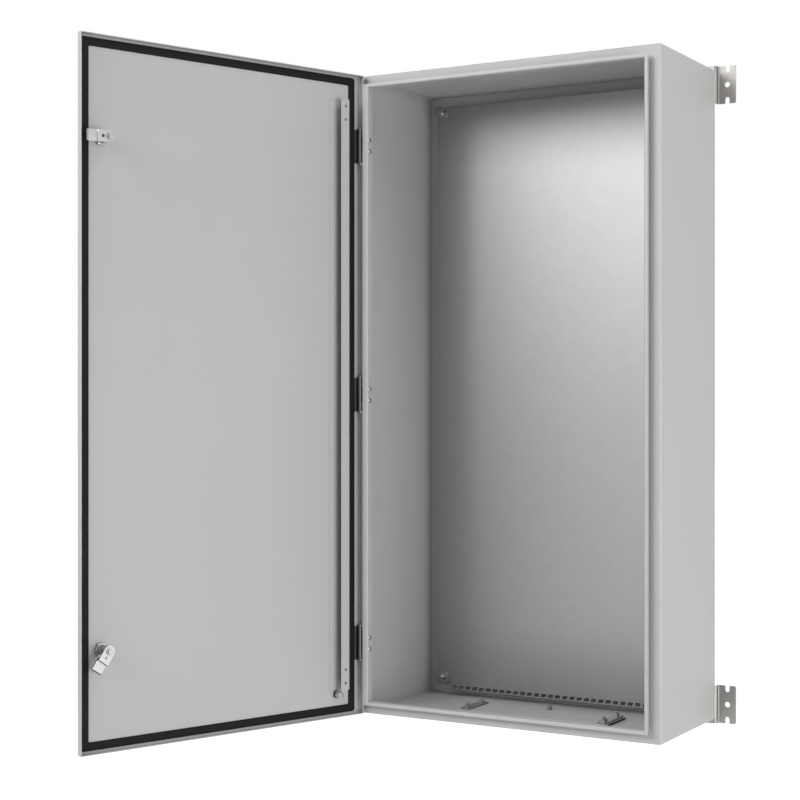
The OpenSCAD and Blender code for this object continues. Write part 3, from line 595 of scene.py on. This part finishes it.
def hexagon_recipe():
    """Chamfered hexagon on the ground, with a corner on the first axis."""
    tree, given = recipe("chamfered_hexagon", ["Across Flats", "Height", "Bore Radius"])
    flats, height, bore = given["Across Flats"], given["Height"], given["Bore Radius"]
    corner = add(tree, "ShaderNodeMath", {0: flats, 1: HEX_CORNER}, operation="MULTIPLY")
    middle = add(tree, "ShaderNodeMath", {0: height, 1: 0.5}, operation="MULTIPLY")
    bar = add(tree, "GeometryNodeMeshCylinder", {"Vertices": 6, "Radius": corner.outputs[0], "Depth": height})
    rise = add(tree, "ShaderNodeCombineXYZ", {"Z": middle.outputs[0]})
    prism = {"Geometry": bar.outputs["Mesh"], "Translation": rise.outputs[0]}
    stood = add(tree, "GeometryNodeTransform", prism)
    crown = add(tree, "ShaderNodeMath", {0: flats, 1: CROWN}, operation="MULTIPLY")
    over = {0: height, 1: -SPARE * CHAMFER_SLOPE, 2: crown.outputs[0]}
    tip = add(tree, "ShaderNodeMath", over, operation="MULTIPLY_ADD")
    under = {0: height, 1: (1 + SPARE) * CHAMFER_SLOPE, 2: crown.outputs[0]}
    skirt = add(tree, "ShaderNodeMath", under, operation="MULTIPLY_ADD")
    depth = add(tree, "ShaderNodeMath", {0: height, 1: 1 + 2 * SPARE}, operation="MULTIPLY")
    blunt = {"Vertices": CONE_SIDES, "Radius Top": tip.outputs[0], "Radius Bottom": skirt.outputs[0],
             "Depth": depth.outputs[0]}
    cone = add(tree, "GeometryNodeMeshCone", blunt)
    below = add(tree, "ShaderNodeMath", {0: height, 1: -SPARE}, operation="MULTIPLY")
    above = add(tree, "ShaderNodeMath", {0: height, 1: 1 + SPARE}, operation="MULTIPLY")
    sunk = add(tree, "ShaderNodeCombineXYZ", {"Z": below.outputs[0]})
    upper = add(tree, "GeometryNodeTransform", {"Geometry": cone.outputs["Mesh"], "Translation": sunk.outputs[0]})
    raised = add(tree, "ShaderNodeCombineXYZ", {"Z": above.outputs[0]})
    upside_down = {"Geometry": cone.outputs["Mesh"], "Translation": raised.outputs[0], "Rotation": (math.pi, 0, 0)}
    lower = add(tree, "GeometryNodeTransform", upside_down)
    kept = {"Mesh 2": [stood.outputs["Geometry"], upper.outputs["Geometry"], lower.outputs["Geometry"]]}
    turned = add(tree, "GeometryNodeMeshBoolean", kept, operation="INTERSECT", solver="EXACT")
    long = add(tree, "ShaderNodeMath", {0: height, 1: 3.0}, operation="MULTIPLY")
    bit = {"Vertices": BORE_SIDES, "Radius": bore, "Depth": long.outputs[0]}
    drill = add(tree, "GeometryNodeMeshCylinder", bit)
    cut = {"Mesh 1": turned.outputs["Mesh"], "Mesh 2": drill.outputs["Mesh"]}
    bored = add(tree, "GeometryNodeMeshBoolean", cut, operation="DIFFERENCE", solver="EXACT")
    wanted = add(tree, "FunctionNodeCompare", {"A": bore, "B": 0.0}, operation="GREATER_THAN")
    either = {"Switch": wanted.outputs["Result"], "False": turned.outputs["Mesh"], "True": bored.outputs["Mesh"]}
    shape = add(tree, "GeometryNodeSwitch", either, input_type="GEOMETRY")
    stand_on_points(tree, given, shape.outputs["Output"])
    return tree


hexagon = hexagon_recipe()
print(hexagon.name, len(hexagon.nodes), "nodes")

# %% [markdown]
# All nuts are the same recipe with other sizes, from the small ones of the gland plate to the flat ring nuts behind the
# locks. Across flats and height are measured on the CAD solids, and the radius of the bore clears the thread by a
# hair.

# %% Nuts
M6_BORE_MM = 3.05
M8_BORE_MM = 4.05
LOCK_BORE_MM = 9.05
NUTS = {
    "plate_nuts": (TO_FRONT, M8_BORE_MM),
    "bracket_nuts": (TO_BACK, M8_BORE_MM),
    "gland_nuts": (UP, M6_BORE_MM),
    "gland_earth_nut": (UP, M6_BORE_MM),
    "door_earth_nut": (OFF_DOOR, M8_BORE_MM),
    "upper_lock_nut": (OFF_DOOR, LOCK_BORE_MM),
    "lower_lock_nut": (OFF_DOOR, LOCK_BORE_MM),
}


def hexagon_sizes(node, turn, bore):
    """Sizes of a node's hexagons, measured on its first solid, with the radius of the bore in millimetres."""
    low, high = solids(node, turn)[0]
    return {"Across Flats": high.y - low.y, "Height": high.z - low.z, "Bore Radius": bore * MM}


for node, (turn, bore) in NUTS.items():
    piece = stand_points(node + "_finished", node, turn)
    cook(piece, hexagon, hexagon_sizes(node, turn, bore) | {"Finish": bright_zinc})
    finish_piece(piece, bright_zinc, node)


# %% [markdown]
# ### Threaded studs
# A stud is a rolled rod welded to the sheet by its foot. The thread is a small ridge that climbs round the core: a
# four-cornered section swept along a helix, with its crest at the nominal radius of the rod.

# %% Stud recipe
RIDGE = 0.42
RUN_OUT = 0.75
ROD_SIDES = 28
FOOT_SIDES = 40
TURN_STEPS = 18
RIDGE_SIDES = 4


def stud_recipe():
    """Threaded rod on a round foot."""
    sizes = ["Radius", "Pitch", "Length", "Foot Radius", "Foot Height"]
    tree, given = recipe("threaded_stud", sizes)
    pitch, length = given["Pitch"], given["Length"]
    root = add(tree, "ShaderNodeMath", {0: pitch, 1: -RIDGE, 2: given["Radius"]}, operation="MULTIPLY_ADD")
    bar = {"Vertices": ROD_SIDES, "Radius": root.outputs[0], "Depth": length}
    rod = add(tree, "GeometryNodeMeshCylinder", bar)
    half_rod = add(tree, "ShaderNodeMath", {0: length, 1: 0.5}, operation="MULTIPLY")
    rise = add(tree, "ShaderNodeCombineXYZ", {"Z": half_rod.outputs[0]})
    core = add(tree, "GeometryNodeTransform", {"Geometry": rod.outputs["Mesh"], "Translation": rise.outputs[0]})
    climb = add(tree, "ShaderNodeMath", {0: pitch, 1: -2 * RUN_OUT, 2: length}, operation="MULTIPLY_ADD")
    turns = add(tree, "ShaderNodeMath", {0: climb.outputs[0], 1: pitch}, operation="DIVIDE")
    path = {"Resolution": TURN_STEPS, "Rotations": turns.outputs[0], "Start Radius": root.outputs[0],
            "End Radius": root.outputs[0], "Height": climb.outputs[0]}
    helix = add(tree, "GeometryNodeCurveSpiral", path)
    level = add(tree, "GeometryNodeSetCurveNormal", {"Curve": helix.outputs["Curve"]}, mode="Z_UP")
    ridge_size = add(tree, "ShaderNodeMath", {0: pitch, 1: RIDGE}, operation="MULTIPLY")
    ridge = {"Resolution": RIDGE_SIDES, "Radius": ridge_size.outputs[0]}
    section = add(tree, "GeometryNodeCurvePrimitiveCircle", ridge, mode="RADIUS")
    sweep = {"Curve": level.outputs["Curve"], "Profile Curve": section.outputs["Curve"], "Fill Caps": True}
    swept = add(tree, "GeometryNodeCurveToMesh", sweep)
    start = add(tree, "ShaderNodeMath", {0: pitch, 1: RUN_OUT}, operation="MULTIPLY")
    lead = add(tree, "ShaderNodeCombineXYZ", {"Z": start.outputs[0]})
    thread = add(tree, "GeometryNodeTransform", {"Geometry": swept.outputs["Mesh"], "Translation": lead.outputs[0]})
    disc = {"Vertices": FOOT_SIDES, "Radius": given["Foot Radius"], "Depth": given["Foot Height"]}
    pad = add(tree, "GeometryNodeMeshCylinder", disc)
    half_foot = add(tree, "ShaderNodeMath", {0: given["Foot Height"], 1: 0.5}, operation="MULTIPLY")
    step = add(tree, "ShaderNodeCombineXYZ", {"Z": half_foot.outputs[0]})
    foot = add(tree, "GeometryNodeTransform", {"Geometry": pad.outputs["Mesh"], "Translation": step.outputs[0]})
    parts = [core.outputs["Geometry"], thread.outputs["Geometry"], foot.outputs["Geometry"]]
    shape = add(tree, "GeometryNodeJoinGeometry", {"Geometry": parts})
    stand_on_points(tree, given, shape.outputs["Geometry"])
    return tree


stud = stud_recipe()
print(stud.name, len(stud.nodes), "nodes")

# %% [markdown]
# The four plate studs have a wide, high foot, which is the collar that the mounting plate rests on. The gland plate and
# the door have short studs, for the clamp bars and for the earth leads. M8 has a pitch of 1.25 mm, and M6 one of 1 mm.
# Each row below has the turn of a stud, its radius, and the radius and height of its foot.

# %% Studs
M6_RADIUS_MM = 3
M8_RADIUS_MM = 4
COARSE_PITCH_MM = {M6_RADIUS_MM: 1.0, M8_RADIUS_MM: 1.25}
STUDS = {
    "plate_studs": (TO_FRONT, M8_RADIUS_MM, 10, 14.5),
    "gland_studs": (UP, M6_RADIUS_MM, 3, 2),
    "gland_earth_stud": (UP, M6_RADIUS_MM, 5, 1.5),
    "door_earth_stud": (OFF_DOOR, M8_RADIUS_MM, 7, 1.5),
}


def stud_sizes(radius, length, foot_radius, foot_height):
    """Sizes of a stud: its length is in metres, and the others are in millimetres."""
    return {"Radius": radius * MM, "Pitch": COARSE_PITCH_MM[radius] * MM, "Length": length,
            "Foot Radius": foot_radius * MM, "Foot Height": foot_height * MM}


for node, (turn, radius, foot_radius, foot_height) in STUDS.items():
    low, high = solids(node, turn)[0]
    piece = stand_points(node + "_finished", node, turn)
    sizes = stud_sizes(radius, high.z - low.z, foot_radius, foot_height)
    cook(piece, stud, sizes | {"Finish": bright_zinc})
    finish_piece(piece, bright_zinc, node)

# %% [markdown]
# ### Bracket bolts
# A bolt has both: a hexagon head inside the cabinet and a threaded shank through the panel and the bracket. The two
# recipes are cooked apart, and their meshes are put together to one piece. A bolt has no foot, so the foot of its
# shank is a small one that stays hidden inside.

# %% Bracket bolts
BOLT_HEAD_MM = 6.5
BOLT_FLATS_MM = 13
HIDDEN_FOOT_RADIUS_MM = 3
HIDDEN_FOOT_HEIGHT_MM = 0.5

low, high = solids("bracket_bolts", TO_FRONT)[0]
shank = high.z - low.z - BOLT_HEAD_MM * MM
bolt_heads = stand_points("bolt_heads", "bracket_bolts", TO_FRONT, shank)
cook(bolt_heads, hexagon, {"Across Flats": BOLT_FLATS_MM * MM, "Height": BOLT_HEAD_MM * MM, "Bore Radius": 0.0,
                           "Finish": bright_zinc})
bolts = stand_points("bracket_bolts_finished", "bracket_bolts", TO_FRONT)
shank_sizes = stud_sizes(M8_RADIUS_MM, shank, HIDDEN_FOOT_RADIUS_MM, HIDDEN_FOOT_HEIGHT_MM)
cook(bolts, stud, shank_sizes | {"Finish": bright_zinc})
work = bmesh.new()
work.from_mesh(bolts.data)
work.from_mesh(bolt_heads.data)
work.to_mesh(bolts.data)
work.free()
bpy.data.objects.remove(bolt_heads)
finish_piece(bolts, bright_zinc, "bracket_bolts")


# %% [markdown]
# ### Hinge screws
# The fixed hinge leaves are held by pan-head screws with a cross recess. The head is the upper half of a flattened
# ball, and two crossed bars are cut into it, as the punch does when the head is upset.

# %% Pan head recipe
RECESS_LENGTH = 1.2
RECESS_WIDTH = 0.24
RECESS_DEPTH = 0.55
BALL_SEGMENTS = 36
BALL_RINGS = 20
SHANK_SIDES = 24


def pan_head_recipe():
    """Domed head with a cross recess, on a plain shank that goes down."""
    tree, given = recipe("pan_head_screw", ["Head Radius", "Head Height", "Shank Radius", "Shank Length"])
    radius, height, shank = given["Head Radius"], given["Head Height"], given["Shank Length"]
    round_ball = {"Segments": BALL_SEGMENTS, "Rings": BALL_RINGS, "Radius": 1.0}
    ball = add(tree, "GeometryNodeMeshUVSphere", round_ball)
    flattened = add(tree, "ShaderNodeCombineXYZ", {"X": radius, "Y": radius, "Z": height})
    dome = add(tree, "GeometryNodeTransform", {"Geometry": ball.outputs["Mesh"], "Scale": flattened.outputs[0]})
    wide = add(tree, "ShaderNodeMath", {0: radius, 1: 4.0}, operation="MULTIPLY")
    tall = add(tree, "ShaderNodeMath", {0: height, 1: 2.0}, operation="MULTIPLY")
    room = add(tree, "ShaderNodeCombineXYZ", {"X": wide.outputs[0], "Y": wide.outputs[0], "Z": tall.outputs[0]})
    block = add(tree, "GeometryNodeMeshCube", {"Size": room.outputs[0]})
    rise = add(tree, "ShaderNodeCombineXYZ", {"Z": height})
    above = add(tree, "GeometryNodeTransform", {"Geometry": block.outputs["Mesh"], "Translation": rise.outputs[0]})
    halves = {"Mesh 2": [dome.outputs["Geometry"], above.outputs["Geometry"]]}
    half = add(tree, "GeometryNodeMeshBoolean", halves, operation="INTERSECT", solver="EXACT")
    length = add(tree, "ShaderNodeMath", {0: radius, 1: RECESS_LENGTH}, operation="MULTIPLY")
    width = add(tree, "ShaderNodeMath", {0: radius, 1: RECESS_WIDTH}, operation="MULTIPLY")
    depth = add(tree, "ShaderNodeMath", {0: height, 1: 2 * RECESS_DEPTH}, operation="MULTIPLY")
    bar_size = {"X": length.outputs[0], "Y": width.outputs[0], "Z": depth.outputs[0]}
    bar_box = add(tree, "ShaderNodeCombineXYZ", bar_size)
    bar = add(tree, "GeometryNodeMeshCube", {"Size": bar_box.outputs[0]})
    along = add(tree, "GeometryNodeTransform", {"Geometry": bar.outputs["Mesh"], "Translation": rise.outputs[0]})
    crossed = {"Geometry": along.outputs["Geometry"], "Rotation": (0, 0, math.pi / 2)}
    across = add(tree, "GeometryNodeTransform", crossed)
    punch = {"Mesh 1": half.outputs["Mesh"], "Mesh 2": [along.outputs["Geometry"], across.outputs["Geometry"]]}
    head = add(tree, "GeometryNodeMeshBoolean", punch, operation="DIFFERENCE", solver="EXACT")
    plain_rod = {"Vertices": SHANK_SIDES, "Radius": given["Shank Radius"], "Depth": shank}
    rod = add(tree, "GeometryNodeMeshCylinder", plain_rod)
    sink = add(tree, "ShaderNodeMath", {0: shank, 1: -0.5}, operation="MULTIPLY")
    down = add(tree, "ShaderNodeCombineXYZ", {"Z": sink.outputs[0]})
    foot = add(tree, "GeometryNodeTransform", {"Geometry": rod.outputs["Mesh"], "Translation": down.outputs[0]})
    shape = add(tree, "GeometryNodeJoinGeometry", {"Geometry": [head.outputs["Mesh"], foot.outputs["Geometry"]]})
    stand_on_points(tree, given, shape.outputs["Geometry"])
    return tree


# %% [markdown]
# Two screws hold each hinge leaf. They are put in from inside the cabinet, so only their heads show, beside the seam.

# %% Hinge screws
SCREW_HEAD_MM = 2.6
SCREW_RADIUS_MM = 2.5

pan_head = pan_head_recipe()
low, high = solids("hinge_screws", TO_RIGHT)[0]
shank = high.z - low.z - SCREW_HEAD_MM * MM
screws = stand_points("hinge_screws_finished", "hinge_screws", TO_RIGHT, shank)
cook(screws, pan_head, {"Head Radius": (high.x - low.x) / 2, "Head Height": SCREW_HEAD_MM * MM,
                        "Shank Radius": SCREW_RADIUS_MM * MM, "Shank Length": shank, "Finish": bright_zinc})
finish_piece(screws, bright_zinc, "hinge_screws")


# %% [markdown]
# ## Domed seal
# The foam rises to a low dome across its width. It is lofted on the closed door: one rounded rectangle for each point
# of the dome, from the outer edge to the inner one, with corners that grow tighter inwards. Then the whole bead is
# turned to the open door, as the hinge does.

# %% Domed seal
CORNER_OUT_MM = 6
CORNER_IN_MM = 3
CORNER_STEPS = 8
DOME_STEPS = 12
DOME_FULLNESS = 0.5
SEAL_WIDTH_MM = 14.5


def rounded_loop(width, height, radius):
    """Points round a rectangle with rounded corners, about its middle."""
    loop = []
    for quarter, (sx, sz) in enumerate(((1, 1), (-1, 1), (-1, -1), (1, -1))):
        for step in range(CORNER_STEPS + 1):
            angle = (quarter + step / CORNER_STEPS) * math.pi / 2
            x = sx * (width / 2 - radius) + radius * math.cos(angle)
            z = sz * (height / 2 - radius) + radius * math.sin(angle)
            loop.append((x, z))
    return loop


def domed_seal(node):
    """Mesh of the seal: rounded rectangles, one inside the other, that rise to a dome and come down again."""
    to_shut = shut_to_open.inverted()
    spots = [to_shut @ vert.co for vert in nodes[node].data.vertices]
    low, high = Vector(map(min, zip(*spots))), Vector(map(max, zip(*spots)))
    middle, size = (low + high) / 2, high - low
    work = bmesh.new()
    rings = []
    for step in range(DOME_STEPS + 1):
        angle = math.pi * step / DOME_STEPS
        inwards = (1 - math.cos(angle)) / 2
        y = low.y + size.y * abs(math.sin(angle)) ** DOME_FULLNESS
        inset = inwards * SEAL_WIDTH_MM * MM
        radius = (CORNER_OUT_MM + inwards * (CORNER_IN_MM - CORNER_OUT_MM)) * MM
        loop = rounded_loop(size.x - 2 * inset, size.z - 2 * inset, radius)
        rings.append([work.verts.new((middle.x + x, y, middle.z + z)) for x, z in loop])
    for outer, inner in zip(rings, rings[1:] + rings[:1]):
        for i in range(len(outer)):
            j = (i + 1) % len(outer)
            work.faces.new((outer[i], outer[j], inner[j], inner[i]))
    bmesh.ops.recalc_face_normals(work, faces=work.faces)
    mesh = bpy.data.meshes.new("domed_seal")
    work.to_mesh(mesh)
    work.free()
    mesh.transform(shut_to_open)
    return mesh


finish_piece(new_piece("door_gasket_finished", domed_seal("door_gasket")), foam, "door_gasket")

# %% [markdown]
# ## Floor and light
# The cabinet hangs on a wall, so the floor is well below it. Camera and mirror rays see floor and sky as white. Other
# rays see a pale grey floor and a soft sky, so the background doesn't flood the cabinet with light.

# %% Floor
FLOOR_DROP = 0.8
FLOOR_SIZE = 60.0
FLOOR_GLOW = 0.92


def seen_directly(tree):
    """1 for camera, mirror and glass rays, and 0 for light that bounces."""
    path = add(tree, "ShaderNodeLightPath").outputs
    either = add(tree, "ShaderNodeMath", {0: path["Is Camera Ray"], 1: path["Is Glossy Ray"]}, operation="MAXIMUM")
    sockets = {0: either.outputs[0], 1: path["Is Transmission Ray"]}
    return add(tree, "ShaderNodeMath", sockets, operation="MAXIMUM").outputs[0]


def pale_floor():
    """Pale matt floor that the camera and mirrors see as white."""
    material, tree, shader, _ = blank("pale_floor", "#d8d8d8", 0.0, 0.9)
    glow = add(tree, "ShaderNodeMath", {0: seen_directly(tree), 1: FLOOR_GLOW}, operation="MULTIPLY").outputs[0]
    shader.inputs["Emission Color"].default_value = (1, 1, 1, 1)
    tree.links.new(glow, shader.inputs["Emission Strength"])
    return material


floor_mesh = bpy.data.meshes.new("floor")
half = FLOOR_SIZE / 2
floor_z = cad_box[0].z - FLOOR_DROP
corners = [(x, y, floor_z) for x, y in ((-half, -half), (half, -half), (half, half), (-half, half))]
floor_mesh.from_pydata(corners, [], [(0, 1, 2, 3)])
floor_mesh.materials.append(pale_floor())
floor = new_piece("floor", floor_mesh)
print("floor at", round(floor_z, 3))

# %% [markdown]
# The lamps are large soft boxes. Those on the right light the open door and the side, those in front light the frame
# and put a soft shine on the plate, and one behind keeps the back from going black. With little light from the sky, the
# folds of the sheet keep their shadows. Each row below has the place and the width of a lamp in metres, and its watts.

# %% Sky and lamps
SKY_LIGHT = 0.1
LAMPS = {
    "front_left": ((-1.6, -3.2, 1.4), 1.6, 35),
    "front": ((-0.7, -3.6, 1.5), 1.4, 26),
    "front_level": ((0.3, -4.0, 0.3), 2.5, 10),
    "right_level": ((3.2, -0.35, -0.1), 1.6, 20),
    "right_above": ((1.6, -1.0, 2.6), 1.6, 16),
    "right_front": ((2.9, -1.7, -0.4), 1.6, 28),
    "behind": ((-2.2, 2.6, 1.8), 2.0, 90),
}
AIM = Vector((0, -0.3, 0))

world = bpy.data.worlds.new("studio")
bpy.context.scene.world = world
world.use_nodes = True
sky = world.node_tree
sky.nodes.clear()
level = add(sky, "ShaderNodeMapRange", {"Value": seen_directly(sky), "To Min": SKY_LIGHT, "To Max": 1.0})
glow = add(sky, "ShaderNodeBackground", {"Color": (1, 1, 1, 1), "Strength": level.outputs["Result"]})
add(sky, "ShaderNodeOutputWorld", {"Surface": glow.outputs["Background"]})

for name, (place, size, power) in LAMPS.items():
    lamp = bpy.data.lights.new(name, "AREA")
    lamp.size = size
    lamp.energy = power
    holder = bpy.data.objects.new(name, lamp)
    holder.location = place
    holder.rotation_euler = (AIM - Vector(place)).to_track_quat("-Z", "Y").to_euler()
    bpy.context.scene.collection.objects.link(holder)
print("lamps:", list(LAMPS))
